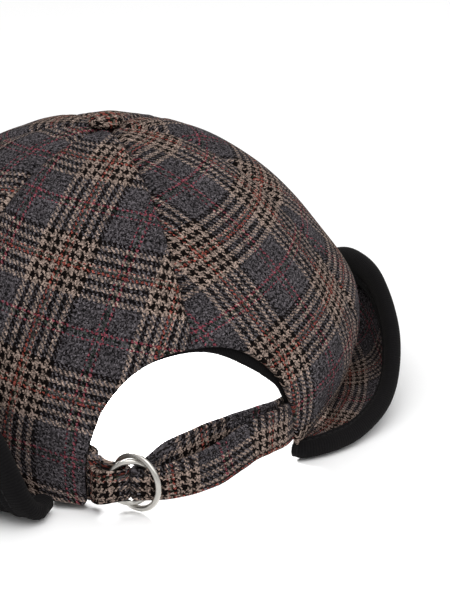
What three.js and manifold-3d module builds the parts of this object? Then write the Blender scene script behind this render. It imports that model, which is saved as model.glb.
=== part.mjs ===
// A soft six-panel tweed cap with folded-up ear flaps, as a scene of named solids.
// Millimetres and degrees. +X is the wearer's left, +Y the back of the head, +Z up.
import * as THREE from 'three';
import { mergeVertices } from 'three/addons/utils/BufferGeometryUtils.js';
import Module from 'manifold-3d';

const wasm = await Module();
wasm.setup();

// Crown
const crownHeight = 107;
const crownSetBack = 10.7;
const bulgeHalfWidth = 94.6;
const bulgeHalfLength = 95.6;
const rimHalfWidth = 82.5;
const rimHalfLength = 102.6;
const rimTurn = 9.85;
const rimClearance = 5.9;
const clothThickness = 2;
const panelPuff = 1.4;
const gap = 0.3;

// Opening at the back, and the bands inside
const archHalfWidth = 41.3;
const archHeight = 51;
const archRoundness = 2.3;
const tapeThickness = 1.2;
const facingWidth = 12;
const facingReveal = 2;
const facingFoot = 27;
const sweatbandHeight = 30;

// Button
const buttonDiameter = 13;
const buttonHeight = 3.6;
const buttonShank = 3;

// Peak
const peakReach = 46;
const peakThickness = 3;
const peakRise = 12;
const peakHalfAngle = 52;

// Ear flaps
const flapHeight = 49;
const flapSpread = 25;
const flapSeam = 0.15;
const flapClothThickness = 1.6;
const flapLiningThickness = 1.4;
const bindingWidth = 8;
const bindingThickness = 0.8;
const bindingEase = 1;

// Strap, tab and rings
const strapWidth = 15;
const strapThickness = 2;
const ringWire = 2;
const outerRingDiameter = 20.7;
const innerRingDiameter = 16.8;
const outerRingTurn = 60;
const innerRingTurn = 20;
const chainAcross = 27.7;
const chainBack = 98.8;
const chainRise = 10.45;
const layerSpacing = 2.4;
const ringShift = 1.9;

const rad = THREE.MathUtils.degToRad;
const lerp = THREE.MathUtils.lerp;
const up = new THREE.Vector3(0, 0, 1);

// Rows from the top down. rise is a share of crownHeight, spread of the bulge,
// and rim is how far the section has gone over from the bulge to the rim.
const crownProfile = [
  { rise: 1.0, spread: 0.0, rim: 0 },
  { rise: 0.986, spread: 0.2, rim: 0 },
  { rise: 0.926, spread: 0.4, rim: 0 },
  { rise: 0.812, spread: 0.6, rim: 0 },
  { rise: 0.68, spread: 0.75, rim: 0 },
  { rise: 0.567, spread: 0.85, rim: 0 },
  { rise: 0.458, spread: 0.93, rim: 0.0 },
  { rise: 0.375, spread: 0.975, rim: 0.01 },
  { rise: 0.285, spread: 0.995, rim: 0.05 },
  { rise: 0.17, spread: 1.0, rim: 0.26 },
  { rise: 0.08, spread: 1.0, rim: 0.58 },
  { rise: 0.0, spread: 1.0, rim: 1 },
];

// One row for each seam, counted from the middle of the back towards the wearer's left.
// turn is the seam's direction at both ends and bow its sideways wander between them.
const seams = [
  { turn: -180, bow: 0 },
  { turn: -120, bow: 0 },
  { turn: -60, bow: 3.4 },
  { turn: 0, bow: 0 },
  { turn: 60, bow: 0 },
  { turn: 120, bow: 0 },
  { turn: 180, bow: 0 },
];
const panelNames = ['front_right', 'side_right', 'back_right', 'back_left', 'side_left', 'front_left'];

// How far the rim stands off the floor, by direction, as shares of rimClearance.
const rimHeights = [
  { turn: -180, lift: 0.85 },
  { turn: -120, lift: 1 },
  { turn: -25, lift: 1 },
  { turn: 0, lift: 0.68 },
  { turn: 14, lift: 0.34 },
  { turn: 25, lift: 0.34 },
  { turn: 35, lift: 0.51 },
  { turn: 120, lift: 0.58 },
  { turn: 180, lift: 0.85 },
];

// One row for each flap. backEnd and frontEnd are directions like a seam's, root and spread
// are how far it starts and stands out from the rim, as shares of flapSpread, and rear is
// the spread's share at the flap's two ends.
const flaps = {
  left: { backEnd: 34, frontEnd: 125, root: 0.104, spread: 0.84, rear: 0.9 },
  right: { backEnd: -28, frontEnd: -125, root: -0.06, spread: 0.96, rear: 1 },
};

// The bend of a folded-up flap. out is a share of its spread, up of flapHeight.
const flapBend = [
  { out: 0.0, up: 0.07 },
  { out: 0.3, up: 0.065 },
  { out: 0.62, up: 0.085 },
  { out: 0.88, up: 0.2 },
  { out: 0.99, up: 0.42 },
  { out: 0.99, up: 0.7 },
  { out: 0.93, up: 1.02 },
];

// The flaps' outlines. along is a share of a flap's length at the rim, and left and right
// are shares of its bend. The left flap is folded up close, and the right one falls open.
const flapEdge = [
  { along: 0, left: 0.44, right: 0.14 },
  { along: 0.05, left: 0.64, right: 0.22 },
  { along: 0.11, left: 0.79, right: 0.31 },
  { along: 0.2, left: 0.89, right: 0.42 },
  { along: 0.32, left: 0.935, right: 0.58 },
  { along: 0.45, left: 0.955, right: 0.77 },
  { along: 0.58, left: 0.95, right: 0.88 },
  { along: 0.72, left: 0.87, right: 0.86 },
  { along: 0.87, left: 0.56, right: 0.58 },
  { along: 1, left: 0.22, right: 0.22 },
];

// The strap from the crown to the buckle. across is a share of archHalfWidth, back of
// chainBack, low and high the middle heights of the front and back layers in strapWidth,
// wide a share of strapWidth, and apart a share of layerSpacing.
const strapRoute = [
  { across: -1.2, back: 0.688, low: 1.0, high: 1.06, wide: 1, apart: 0.56 },
  { across: -1.09, back: 0.734, low: 1.0, high: 1.08, wide: 1, apart: 0.56 },
  { across: -0.993, back: 0.784, low: 1.02, high: 1.1, wide: 1, apart: 0.56 },
  { across: -0.85, back: 0.865, low: 1.06, high: 1.16, wide: 1, apart: 0.56 },
  { across: -0.436, back: 0.972, low: 1.15, high: 1.31, wide: 1, apart: 0.75 },
  { across: 0.0, back: 1.022, low: 0.85, high: 1.27, wide: 0.98, apart: 1.0 },
  { across: 0.315, back: 1.038, low: 0.75, high: 1.15, wide: 0.88, apart: 0.95 },
  { across: 0.5, back: 1.025, low: 0.7, high: 0.82, wide: 0.76, apart: 1.0 },
  { across: 0.581, back: 1.013, low: 0.695, high: 0.695, wide: 0.74, apart: 1.0 },
];

// The tab from the buckle to the crown, with the same columns.
const tabRoute = [
  { across: 0.76, back: 0.987, low: 0.695, high: 0.695, wide: 0.72, apart: 1.0 },
  { across: 0.84, back: 0.974, low: 0.66, high: 0.74, wide: 0.76, apart: 1.0 },
  { across: 0.9, back: 0.93, low: 0.62, high: 0.8, wide: 0.9, apart: 0.62 },
  { across: 0.9, back: 0.872, low: 0.62, high: 0.8, wide: 1.05, apart: 0.55 },
  { across: 0.965, back: 0.802, low: 0.64, high: 0.78, wide: 1.05, apart: 0.55 },
  { across: 1.09, back: 0.748, low: 0.64, high: 0.78, wide: 1.05, apart: 0.55 },
];

function material(color, roughness, metalness = 0) {
  return new THREE.MeshStandardMaterial({ color, roughness, metalness });
}

const tweed = () => material(0x4a423e, 0.95);
const blackCloth = () => material(0x141315, 0.9);
const steel = () => material(0xc9c6c1, 0.32, 1);

// A smooth curve through the rows of a table, as a function of a share from 0 to 1.
function curveThrough(rows, columns) {
  const points = rows.map((row) => new THREE.Vector3(...columns.map((column) => row[column])));
  const curve = new THREE.CatmullRomCurve3(points, false, 'centripetal');
  return (share) => curve.getPoint(THREE.MathUtils.clamp(share, 0, 1));
}

function geometryFrom(positions, triangles) {
  const volume = triangles.reduce((sum, [a, b, c]) => {
    const cross = new THREE.Vector3().crossVectors(positions[b], positions[c]);
    return sum + positions[a].dot(cross);
  }, 0);
  const index = triangles.flatMap(([a, b, c]) => (volume < 0 ? [a, c, b] : [a, b, c]));
  const geometry = new THREE.BufferGeometry();
  const numbers = positions.flatMap((point) => point.toArray());
  geometry.setAttribute('position', new THREE.Float32BufferAttribute(numbers, 3));
  geometry.setIndex(index);
  return geometry;
}

// A closed solid from rings of points that all have the same count, with a cap at each end.
function loft(rings, caps) {
  const count = rings[0].length;
  const triangles = [];
  for (let i = 0; i < rings.length - 1; i += 1) {
    for (let j = 0; j < count; j += 1) {
      const a = i * count + j;
      const b = i * count + ((j + 1) % count);
      triangles.push([a, b, b + count], [a, b + count, a + count]);
    }
  }
  const last = (rings.length - 1) * count;
  for (const [a, b, c] of caps) {
    triangles.push([a, c, b], [last + a, last + b, last + c]);
  }
  return geometryFrom(rings.flat(), triangles);
}

// A sheet of cloth between two depths below a surface at(u, v), one ring for each column.
function sheet(place, columns, rows, near, far) {
  const rings = [];
  for (let i = 0; i <= columns; i += 1) {
    const ring = [];
    for (let j = 0; j <= rows; j += 1) ring.push(place(i / columns, j / rows, near));
    for (let j = rows; j >= 0; j -= 1) ring.push(place(i / columns, j / rows, far));
    rings.push(ring);
  }
  const caps = [];
  const count = 2 * (rows + 1);
  for (let j = 0; j < rows; j += 1) {
    caps.push([j, j + 1, count - 2 - j], [j, count - 2 - j, count - 1 - j]);
  }
  return loft(rings, caps);
}

// The point at a depth below a surface, towards the wearer. hand is 1 where the surface runs
// clockwise seen from above and down, or the other way and up, and -1 otherwise.
function below(at, u, v, depth, hand = 1) {
  const step = 1e-3;
  const [u0, u1] = [Math.max(u - step, 0), Math.min(u + step, 1)];
  const [v0, v1] = [Math.max(v - step, 0), Math.min(v + step, 1)];
  const across = at(u1, v).sub(at(u0, v));
  const down = at(u, v1).sub(at(u, v0));
  const normal = down.cross(across).normalize();
  return at(u, v).addScaledVector(normal, hand * depth);
}

const profileAt = curveThrough(crownProfile, ['rise', 'spread', 'rim']);

function rimLift(turn) {
  const degrees = THREE.MathUtils.euclideanModulo(THREE.MathUtils.radToDeg(turn) + 180, 360) - 180;
  const next = Math.max(rimHeights.findIndex((row) => row.turn >= degrees), 1);
  const [low, high] = [rimHeights[next - 1], rimHeights[next]];
  const share = (degrees - low.turn) / (high.turn - low.turn);
  return rimClearance * lerp(low.lift, high.lift, share);
}

// The crown's outer face without its seams, at a direction and a share of the profile.
function crownPoint(turn, share) {
  const { x: rise, y: spread, z: rim } = profileAt(share);
  const [sin, cos] = [Math.sin(turn), Math.cos(turn)];
  const aim = Math.atan2(rimHalfWidth * sin, rimHalfLength * cos);
  const radius = 1 / Math.hypot(
    Math.sin(aim - rad(rimTurn)) / rimHalfWidth,
    Math.cos(aim - rad(rimTurn)) / rimHalfLength,
  );
  const top = crownSetBack * (1 - spread);
  return new THREE.Vector3(
    lerp(bulgeHalfWidth * spread * sin, radius * Math.sin(aim), rim),
    lerp(bulgeHalfLength * spread * cos, radius * Math.cos(aim), rim) + top,
    crownHeight * rise + rimLift(turn) * rim,
  );
}

function seamTurn(seam, share) {
  return rad(seam.turn + seam.bow * Math.sin(Math.PI * share));
}

// The profile's share where the crown's radius is the hole for the button's shank.
const holeRadius = buttonShank / 2 + gap;
const topShare = holeRadius / bulgeHalfWidth / crownProfile[1].spread / (crownProfile.length - 1);

function panelPoint(index) {
  return (u, v) => {
    const share = lerp(topShare, 1, v);
    const turn = lerp(seamTurn(seams[index], share), seamTurn(seams[index + 1], share), u);
    return crownPoint(turn, share);
  };
}

function panelSolid(index, columns, rows) {
  const at = panelPoint(index);
  const middle = rad((seams[index].turn + seams[index + 1].turn) / 2);
  const aside = new THREE.Vector3(Math.cos(middle), -Math.sin(middle), 0);
  const place = (u, v, depth) => {
    const swell = 1 - (2 * u - 1) ** 4;
    const puff = panelPuff * swell * Math.sin(Math.PI * Math.min(v + 0.12, 1));
    return below(at, u, v, depth - puff).addScaledVector(aside, gap * (0.5 - u));
  };
  return sheet(place, columns, rows, 0, clothThickness);
}

function archPoints(growth, steps = 32) {
  const points = [];
  const [width, height] = [archHalfWidth + growth, archHeight + growth];
  for (let i = 0; i <= steps; i += 1) {
    const angle = (Math.PI * i) / steps;
    const [c, s] = [Math.cos(angle), Math.sin(angle)];
    points.push(new THREE.Vector2(
      width * Math.sign(c) * Math.abs(c) ** (2 / archRoundness),
      height * s ** (2 / archRoundness),
    ));
  }
  return points;
}

// The arch as a block that runs through the back of the crown.
function archBlock(growth, foot) {
  const points = archPoints(growth).map((p) => new THREE.Vector2(p.x, Math.max(p.y, 0)));
  points[0].y = foot;
  points[points.length - 1].y = foot;
  const depth = rimHalfLength * 1.2;
  const geometry = new THREE.ExtrudeGeometry(new THREE.Shape(points), { depth, bevelEnabled: false });
  geometry.rotateX(Math.PI / 2);
  geometry.translate(0, depth, 0);
  return geometry;
}

function toSolid(geometry) {
  const bare = geometry.clone();
  bare.deleteAttribute('normal');
  bare.deleteAttribute('uv');
  const merged = mergeVertices(bare, 1e-4);
  return new wasm.Manifold(new wasm.Mesh({
    numProp: 3,
    vertProperties: new Float32Array(merged.attributes.position.array),
    triVerts: new Uint32Array(merged.index.array),
  }));
}

function fromSolid(solid) {
  const mesh = solid.getMesh();
  const geometry = new THREE.BufferGeometry();
  geometry.setAttribute('position', new THREE.Float32BufferAttribute(mesh.vertProperties, 3));
  geometry.setIndex(Array.from(mesh.triVerts));
  return geometry;
}

function crownPanels() {
  const arch = toSolid(archBlock(0, -archHeight));
  return panelNames.map((name, index) => {
    const solid = panelSolid(index, 8, 16);
    const open = name.startsWith('back') ? fromSolid(toSolid(solid).subtract(arch)) : solid;
    return part(`crown_panel_${name}`, open, tweed());
  });
}

// Black tape that lines the edge of the arch and shows a little inside it.
function archFacing() {
  const depth = clothThickness + gap;
  const sides = rad(seams[4].turn);
  const at = (u, v) => crownPoint(lerp(-sides, sides, u), lerp(0.5, 1, v));
  const place = (u, v, d) => below(at, u, v, d);
  const wall = toSolid(sheet(place, 28, 14, depth, depth + tapeThickness));
  const outer = toSolid(archBlock(facingWidth, 0));
  const inner = toSolid(archBlock(-facingReveal, -archHeight));
  const foot = new THREE.BoxGeometry(4 * archHalfWidth, 4 * archHalfWidth, 2 * facingFoot);
  foot.translate(0, rimHalfLength, 0);
  const band = wall.intersect(outer).subtract(inner).subtract(toSolid(foot));
  return part('arch_facing', fromSolid(band), blackCloth());
}

function shareAtHeight(height) {
  let share = 1;
  while (share > 0 && profileAt(share).x * crownHeight < height) share -= 0.005;
  return share;
}

// The band inside the rim, from one side of the arch round the front to the other.
function sweatband() {
  const clear = (archHalfWidth + facingWidth + 2 * gap) / bulgeHalfWidth;
  const start = Math.asin(Math.min(clear, 0.9));
  const top = shareAtHeight(sweatbandHeight);
  const at = (u, v) => crownPoint(lerp(start, 2 * Math.PI - start, u), lerp(top, 0.995, v));
  const place = (u, v, depth) => below(at, u, v, depth);
  const near = clothThickness + gap;
  return part('sweatband', sheet(place, 48, 4, near, near + tapeThickness), blackCloth());
}

function topButton() {
  const radius = buttonDiameter / 2;
  const base = crownHeight + panelPuff + gap;
  const under = crownHeight - clothThickness - panelPuff - gap;
  const profile = [[0, under - 1], [radius * 0.7, under - 1], [radius * 0.7, under]];
  profile.push([buttonShank / 2, under], [buttonShank / 2, base], [radius, base]);
  for (let i = 1; i < 6; i += 1) {
    const angle = (Math.PI / 2) * (i / 6);
    profile.push([radius * Math.cos(angle) ** 0.7, base + buttonHeight * Math.sin(angle)]);
  }
  profile.push([0, base + buttonHeight]);
  const geometry = new THREE.LatheGeometry(profile.map(([r, z]) => new THREE.Vector2(r, z)), 24);
  geometry.rotateX(Math.PI / 2);
  geometry.translate(0, crownSetBack, 0);
  return part('top_button', geometry, tweed());
}

// The peak: an arched crescent that rests on its two sides.
function peak() {
  const start = Math.PI - rad(peakHalfAngle);
  const wallTop = (u) => peakThickness + peakRise * Math.sin(Math.PI * u);
  const inner = (u) => {
    const turn = start + 2 * rad(peakHalfAngle) * u;
    const root = crownPoint(turn, shareAtHeight(wallTop(u)));
    const wall = new THREE.Vector3(root.x, root.y, 0);
    return wall.addScaledVector(wall.clone().normalize(), panelPuff + 2 * gap);
  };
  const place = (u, v, depth) => {
    const root = inner(u);
    const reach = peakReach * Math.sin(Math.PI * u) ** 0.55 + peakThickness;
    const droop = 1 - 0.35 * v * v;
    const point = root.add(new THREE.Vector3(0, -reach * v, 0));
    point.z = peakThickness - depth + peakRise * Math.sin(Math.PI * u) * droop;
    return point;
  };
  return part('peak', sheet(place, 24, 6, 0, peakThickness), tweed());
}

function lengthOf(curve, steps = 40) {
  let total = 0;
  for (let i = 0; i < steps; i += 1) total += curve(i / steps).distanceTo(curve((i + 1) / steps));
  return total;
}

// A flap's surface by length: along the rim and then out along its bend, both in shares.
function flapSurface(flap) {
  const bend = curveThrough(flapBend.map((row) => ({ ...row, side: 0 })), ['out', 'up', 'side']);
  const at = (u, v) => {
    const turn = rad(lerp(flap.backEnd, flap.frontEnd, u));
    const rim = crownPoint(turn, 1);
    const ahead = crownPoint(turn + 0.01, 1).sub(rim);
    const outward = new THREE.Vector3(ahead.y, -ahead.x, 0).normalize();
    if (outward.dot(rim) < 0) outward.negate();
    const middle = Math.sin(Math.PI * THREE.MathUtils.clamp(u, 0, 1));
    const spread = flap.spread * lerp(flap.rear, 1, middle);
    const { x: out, y: height } = bend(v);
    const point = rim.addScaledVector(outward, flapSpread * lerp(flap.root, spread, out));
    point.z = flapHeight * height;
    return point;
  };
  const rimLength = lengthOf((t) => at(t, 0));
  const bendLength = lengthOf((t) => at(0.5, t));
  const side = flap.frontEnd > 0 ? 'left' : 'right';
  const edge = curveThrough(flapEdge.map((row) => ({ ...row, flat: 0 })), ['along', side, 'flat']);
  return { at, edge, rimLength, bendLength, hand: flap.frontEnd > 0 ? -1 : 1 };
}

const flapColumns = 18;
const flapRows = 8;
const firstRow = 0.02;

function flapLayer(surface, near, far) {
  const margin = bindingEase / surface.bendLength;
  const place = (u, v, depth) => {
    const { x: along, y: edge } = surface.edge(u);
    return below(surface.at, along, lerp(firstRow, edge - margin, v), depth, surface.hand);
  };
  return sheet(place, flapColumns, flapRows, near, far);
}

// Tape folded round the flap's edge. Its section is a channel that opens towards the rim.
function flapBinding(surface) {
  const inside = flapClothThickness + bindingEase;
  const outside = flapLiningThickness + bindingEase;
  const legs = [0, 0.34, 0.67, 1];
  const section = [
    ...legs.map((s) => [lerp(-bindingThickness, bindingWidth, s), inside + bindingThickness]),
    ...legs.map((s) => [lerp(bindingWidth, 0, s), inside]),
    ...legs.map((s) => [lerp(0, bindingWidth, s), -outside]),
    ...legs.map((s) => [lerp(bindingWidth, -bindingThickness, s), -outside - bindingThickness]),
  ];
  const rings = [];
  for (let i = 0; i <= flapColumns; i += 1) {
    const t = i / flapColumns;
    const [before, after] = [surface.edge(t - 0.01), surface.edge(t + 0.01)];
    const tangent = new THREE.Vector2(
      (after.x - before.x) * surface.rimLength,
      (after.y - before.y) * surface.bendLength,
    ).normalize();
    const { x: along, y: edge } = surface.edge(t);
    rings.push(section.map(([inward, depth]) => {
      const u = along + (inward * tangent.y) / surface.rimLength;
      const v = Math.max(edge - (inward * tangent.x) / surface.bendLength, firstRow);
      return below(surface.at, u, v, depth, surface.hand);
    }));
  }
  const caps = [];
  for (const [start, end] of [[0, 7], [8, 15]]) {
    for (let k = 0; k < 3; k += 1) {
      caps.push([start + k, start + k + 1, end - 1 - k], [start + k, end - 1 - k, end - k]);
    }
  }
  caps.push([0, 7, 8], [0, 8, 15]);
  return loft(rings, caps);
}

function earFlap(side) {
  const surface = flapSurface(flaps[side]);
  return [
    part(`ear_flap_${side}`, flapLayer(surface, flapSeam, flapClothThickness), tweed()),
    part(`ear_flap_lining_${side}`, flapLayer(surface, -flapSeam, -flapLiningThickness), blackCloth()),
    part(`ear_flap_binding_${side}`, flapBinding(surface), blackCloth()),
  ];
}

// A flat band on edge that follows a list of stations, each with a point and a width.
function ribbon(stations) {
  const rings = stations.map(({ point, width }, i) => {
    const [before, after] = [stations[Math.max(i - 1, 0)], stations[Math.min(i + 1, stations.length - 1)]];
    const along = after.point.clone().sub(before.point).setZ(0).normalize();
    const side = new THREE.Vector3().crossVectors(up, along).multiplyScalar(strapThickness / 2);
    const lift = new THREE.Vector3(0, 0, width / 2);
    return [
      point.clone().add(side).add(lift),
      point.clone().sub(side).add(lift),
      point.clone().sub(side).sub(lift),
      point.clone().add(side).sub(lift),
    ];
  });
  return loft(rings, [[0, 1, 2], [0, 2, 3]]);
}

// Both layers of a band that is folded round a ring, from one end round the fold to the other.
function foldedBand(route, steps, foldSide) {
  const place = curveThrough(route, ['across', 'back', 'apart']);
  const heights = curveThrough(route, ['low', 'high', 'wide']);
  const layer = (share, side) => {
    const { x: across, y: back, z: apart } = place(share);
    const ahead = place(share + 0.01).sub(place(share - 0.01));
    const line = new THREE.Vector2(ahead.x * archHalfWidth, ahead.y * chainBack).normalize();
    const { x: low, y: high, z: wide } = heights(share);
    const point = new THREE.Vector3(
      across * archHalfWidth - side * line.y * layerSpacing * apart * Math.sign(line.x),
      back * chainBack + side * Math.abs(line.x) * layerSpacing * apart,
      (side > 0 ? low : high) * strapWidth,
    );
    return { point, width: wide * strapWidth };
  };
  const stations = [];
  const end = foldSide > 0 ? 1 : 0;
  for (let i = 0; i <= steps; i += 1) stations.push(layer(lerp(1 - end, end, i / steps), -1));
  const [last, next] = [layer(end, -1), layer(end, 1)];
  for (let i = 1; i < 6; i += 1) {
    const angle = (Math.PI * i) / 6;
    const point = last.point.clone().lerp(next.point, (1 - Math.cos(angle)) / 2);
    point.x += foldSide * layerSpacing * Math.sin(angle);
    stations.push({ point, width: last.width });
  }
  for (let i = 0; i <= steps; i += 1) stations.push(layer(lerp(end, 1 - end, i / steps), 1));
  return ribbon(stations);
}

// A ring that stands on edge on the line of the buckle, slid along that line by shift.
function ring(name, diameter, turn, shift) {
  const geometry = new THREE.TorusGeometry((diameter - ringWire) / 2, ringWire / 2, 8, 26);
  geometry.rotateX(Math.PI / 2);
  geometry.rotateZ(-rad(turn));
  const mesh = part(name, geometry, steel());
  const line = rad(innerRingTurn);
  mesh.position.set(chainAcross - shift * Math.cos(line), chainBack + shift * Math.sin(line), chainRise);
  return mesh;
}

function part(name, geometry, finish) {
  const mesh = new THREE.Mesh(geometry, finish);
  mesh.name = name;
  return mesh;
}

const cap = new THREE.Group();
cap.add(...crownPanels());
cap.add(topButton());
cap.add(peak());
cap.add(sweatband());
cap.add(archFacing());
cap.add(...earFlap('left'), ...earFlap('right'));
cap.add(part('strap', foldedBand(strapRoute, 16, 1), tweed()));
cap.add(part('strap_tab', foldedBand(tabRoute, 6, -1), tweed()));
cap.add(ring('ring_inner', innerRingDiameter, innerRingTurn, 0));
cap.add(ring('ring_outer', outerRingDiameter, outerRingTurn, ringShift));

// The origin is under the middle of the whole cap, on the surface that it rests on.
const box = new THREE.Box3().setFromObject(cap);
const centre = box.getCenter(new THREE.Vector3());
cap.position.set(-centre.x, -centre.y, -box.min.z);

export default cap;
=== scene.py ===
# %% [markdown]
# # A tweed cap with ear flaps
# The object is a soft cap: six tweed panels, a covered button, a peak, two ear flaps folded
# up with black fleece on one face, and an arch at the back closed by a strap on two steel rings.
# Every piece is built in code over the same named sizes as the cap's plain solids, so the dressed
# cap and the solids share one frame. The first cell loads that frame.

# %% Load the frame
import math
import bpy
import numpy as np
from mathutils import Matrix, Vector


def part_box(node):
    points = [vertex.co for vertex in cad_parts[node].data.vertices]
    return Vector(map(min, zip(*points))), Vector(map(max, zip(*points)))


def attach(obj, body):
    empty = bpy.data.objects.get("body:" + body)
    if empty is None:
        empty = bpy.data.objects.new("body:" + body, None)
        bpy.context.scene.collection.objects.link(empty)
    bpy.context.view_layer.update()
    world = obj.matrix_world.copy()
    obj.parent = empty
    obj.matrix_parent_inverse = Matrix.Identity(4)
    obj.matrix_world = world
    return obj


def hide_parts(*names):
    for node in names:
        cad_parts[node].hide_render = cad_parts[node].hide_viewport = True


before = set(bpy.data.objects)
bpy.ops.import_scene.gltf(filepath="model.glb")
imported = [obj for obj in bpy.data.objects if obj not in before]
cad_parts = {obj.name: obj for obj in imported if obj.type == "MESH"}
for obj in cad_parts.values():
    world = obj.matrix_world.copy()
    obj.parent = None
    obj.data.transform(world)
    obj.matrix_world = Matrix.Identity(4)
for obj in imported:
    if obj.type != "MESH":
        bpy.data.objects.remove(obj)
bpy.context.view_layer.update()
print("pieces in the frame:", len(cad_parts))

# %% [markdown]
# ## Sizes
# The cap is worked out in millimetres about a point on the floor under the crown's middle.
# The button stands over the crown's centre, so its box says where that point is in the frame.

# %% Sizes and the cap's own origin
METRE = 0.001
CROWN_HEIGHT = 107.0
CROWN_SET_BACK = 10.7
BULGE_HALF_WIDTH = 94.6
BULGE_HALF_LENGTH = 95.6
RIM_HALF_WIDTH = 82.5
RIM_HALF_LENGTH = 102.6
RIM_TURN = math.radians(9.85)
CLOTH = 2.0
PANEL_PUFF = 1.4
BUTTON_HEIGHT = 3.6
BUTTON_RADIUS = 6.5
GAP = 0.3

low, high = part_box("top_button")
button_middle = (low + high) / 2
CAP_ORIGIN = np.array([
    button_middle.x / METRE,
    button_middle.y / METRE - CROWN_SET_BACK,
    high.z / METRE - (CROWN_HEIGHT + PANEL_PUFF + GAP + BUTTON_HEIGHT),
])
print("cap origin in the frame, mm:", CAP_ORIGIN.round(2))

# %% [markdown]
# ## The crown's form
# A cap's crown is a few flat gores sewn into a dome. A table of shares gives the dome's profile
# from the button down to the rim, and a smooth curve runs through its rows. The same kind of
# curve shapes the flaps and the strap, so it is written once.

# %% A smooth curve through a table
def smooth_curve(rows, count=600):
    """Rows of numbers to a function of a share from 0 to 1, as a centripetal spline."""
    points = np.array(rows, float)
    ends = np.vstack([2 * points[0] - points[1], points, 2 * points[-1] - points[-2]])
    spans = len(points) - 1
    samples = []
    for share in np.linspace(0, 1, count):
        span = min(int(spans * share), spans - 1)
        w = spans * share - span
        a, b, c, d = ends[span:span + 4]
        steps = [max(np.linalg.norm(q - p), 1e-8) ** 0.5 for p, q in ((a, b), (b, c), (c, d))]
        before, here, after = (b - a) / steps[0], (c - b) / steps[1], (d - c) / steps[2]
        start = (before - (c - a) / (steps[0] + steps[1]) + here) * steps[1]
        end = (here - (d - b) / (steps[1] + steps[2]) + after) * steps[1]
        bend = -3 * b + 3 * c - 2 * start - end
        twist = 2 * b - 2 * c + start + end
        samples.append(b + start * w + bend * w ** 2 + twist * w ** 3)
    samples = np.array(samples)
    shares = np.linspace(0, 1, count)

    def at(share):
        return np.stack([np.interp(share, shares, column) for column in samples.T], -1)
    return at


# %% The dome
CROWN_PROFILE = [
    (1.0, 0.0, 0), (0.986, 0.2, 0), (0.926, 0.4, 0), (0.812, 0.6, 0),
    (0.68, 0.75, 0), (0.567, 0.85, 0), (0.458, 0.93, 0), (0.375, 0.975, 0.01),
    (0.285, 0.995, 0.05), (0.17, 1.0, 0.26), (0.08, 1.0, 0.58), (0.0, 1.0, 1),
]
RIM_CLEARANCE = 5.9
RIM_LIFT_TURNS = [-180, -120, -25, 0, 14, 25, 35, 120, 180]
RIM_LIFTS = [0.85, 1, 1, 0.68, 0.34, 0.34, 0.51, 0.58, 0.85]
profile_at = smooth_curve(CROWN_PROFILE)


def crown_point(turn, share):
    """The dome's outer face. turn is 0 at the back and grows to the wearer's left."""
    rise, spread, rim = np.moveaxis(profile_at(share), -1, 0)
    sin, cos = np.sin(turn), np.cos(turn)
    aim = np.arctan2(RIM_HALF_WIDTH * sin, RIM_HALF_LENGTH * cos)
    radius = 1 / np.hypot(
        np.sin(aim - RIM_TURN) / RIM_HALF_WIDTH,
        np.cos(aim - RIM_TURN) / RIM_HALF_LENGTH,
    )
    degrees = (np.degrees(turn) + 180) % 360 - 180
    lift = np.interp(degrees, RIM_LIFT_TURNS, RIM_LIFTS)
    x = BULGE_HALF_WIDTH * spread * sin * (1 - rim) + radius * np.sin(aim) * rim
    y = BULGE_HALF_LENGTH * spread * cos * (1 - rim) + radius * np.cos(aim) * rim
    y = y + CROWN_SET_BACK * (1 - spread)
    z = CROWN_HEIGHT * rise + RIM_CLEARANCE * lift * rim
    return np.stack([x, y, z], -1)


def unit(vectors):
    return vectors / np.maximum(np.linalg.norm(vectors, axis=-1, keepdims=True), 1e-9)


def normal_of(at, u, v):
    """The unit normal of a surface at(u, v)."""
    step = 1e-3
    across = at(u + step, v) - at(u - step, v)
    down = at(u, v + step) - at(u, v - step)
    return unit(np.cross(across, down))


def dome_face(turn, share):
    """Points of the dome and the normals there, which point out of it."""
    base = crown_point(turn, share)
    normal = normal_of(crown_point, turn, share)
    from_inside = base - [0, CROWN_SET_BACK, 20]
    return base, normal * np.sign((normal * from_inside).sum(-1, keepdims=True))


back_middle = crown_point(np.array(0.0), np.array(0.5))
print("dome half way down the back, mm:", back_middle.round(1))

# %% [markdown]
# ## A sewn piece as a mesh
# Cloth has two faces and a soft edge. A loop of points goes down the outer face, round the edge
# and back up the inner one, and copies of the loop stand side by side to make the piece. Each
# point also keeps its place on the flat cloth in millimetres, which the weave is drawn from.

# %% Make a piece from loops
def make_piece(name, points, cloth, looks, face_looks=None, closed=False):
    """points: (columns, loop, 3) in cap millimetres. cloth: (columns, loop, 2) in millimetres."""
    columns, loop = points.shape[:2]
    flat = (points.reshape(-1, 3) + CAP_ORIGIN) * METRE
    faces, which = [], []
    for i in range(columns if closed else columns - 1):
        after = (i + 1) % columns
        for j in range(loop):
            k = (j + 1) % loop
            faces.append((i * loop + j, i * loop + k, after * loop + k, after * loop + j))
            which.append(0 if face_looks is None else face_looks[j])
    if not closed:
        faces.append(tuple(range(loop - 1, -1, -1)))
        faces.append(tuple((columns - 1) * loop + j for j in range(loop)))
        which.extend([which[0], which[0]])
    mesh = bpy.data.meshes.new(name)
    mesh.from_pydata([tuple(p) for p in flat], [], faces)
    keep_cloth(mesh, cloth.reshape(-1, 2))
    mesh.polygons.foreach_set("material_index", np.array(which, np.int32))
    for look in looks:
        mesh.materials.append(look)
    mesh.validate()
    outward(mesh)
    mesh.polygons.foreach_set("use_smooth", np.ones(len(mesh.polygons), bool))
    piece = bpy.data.objects.new(name, mesh)
    bpy.context.scene.collection.objects.link(piece)
    return piece


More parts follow.
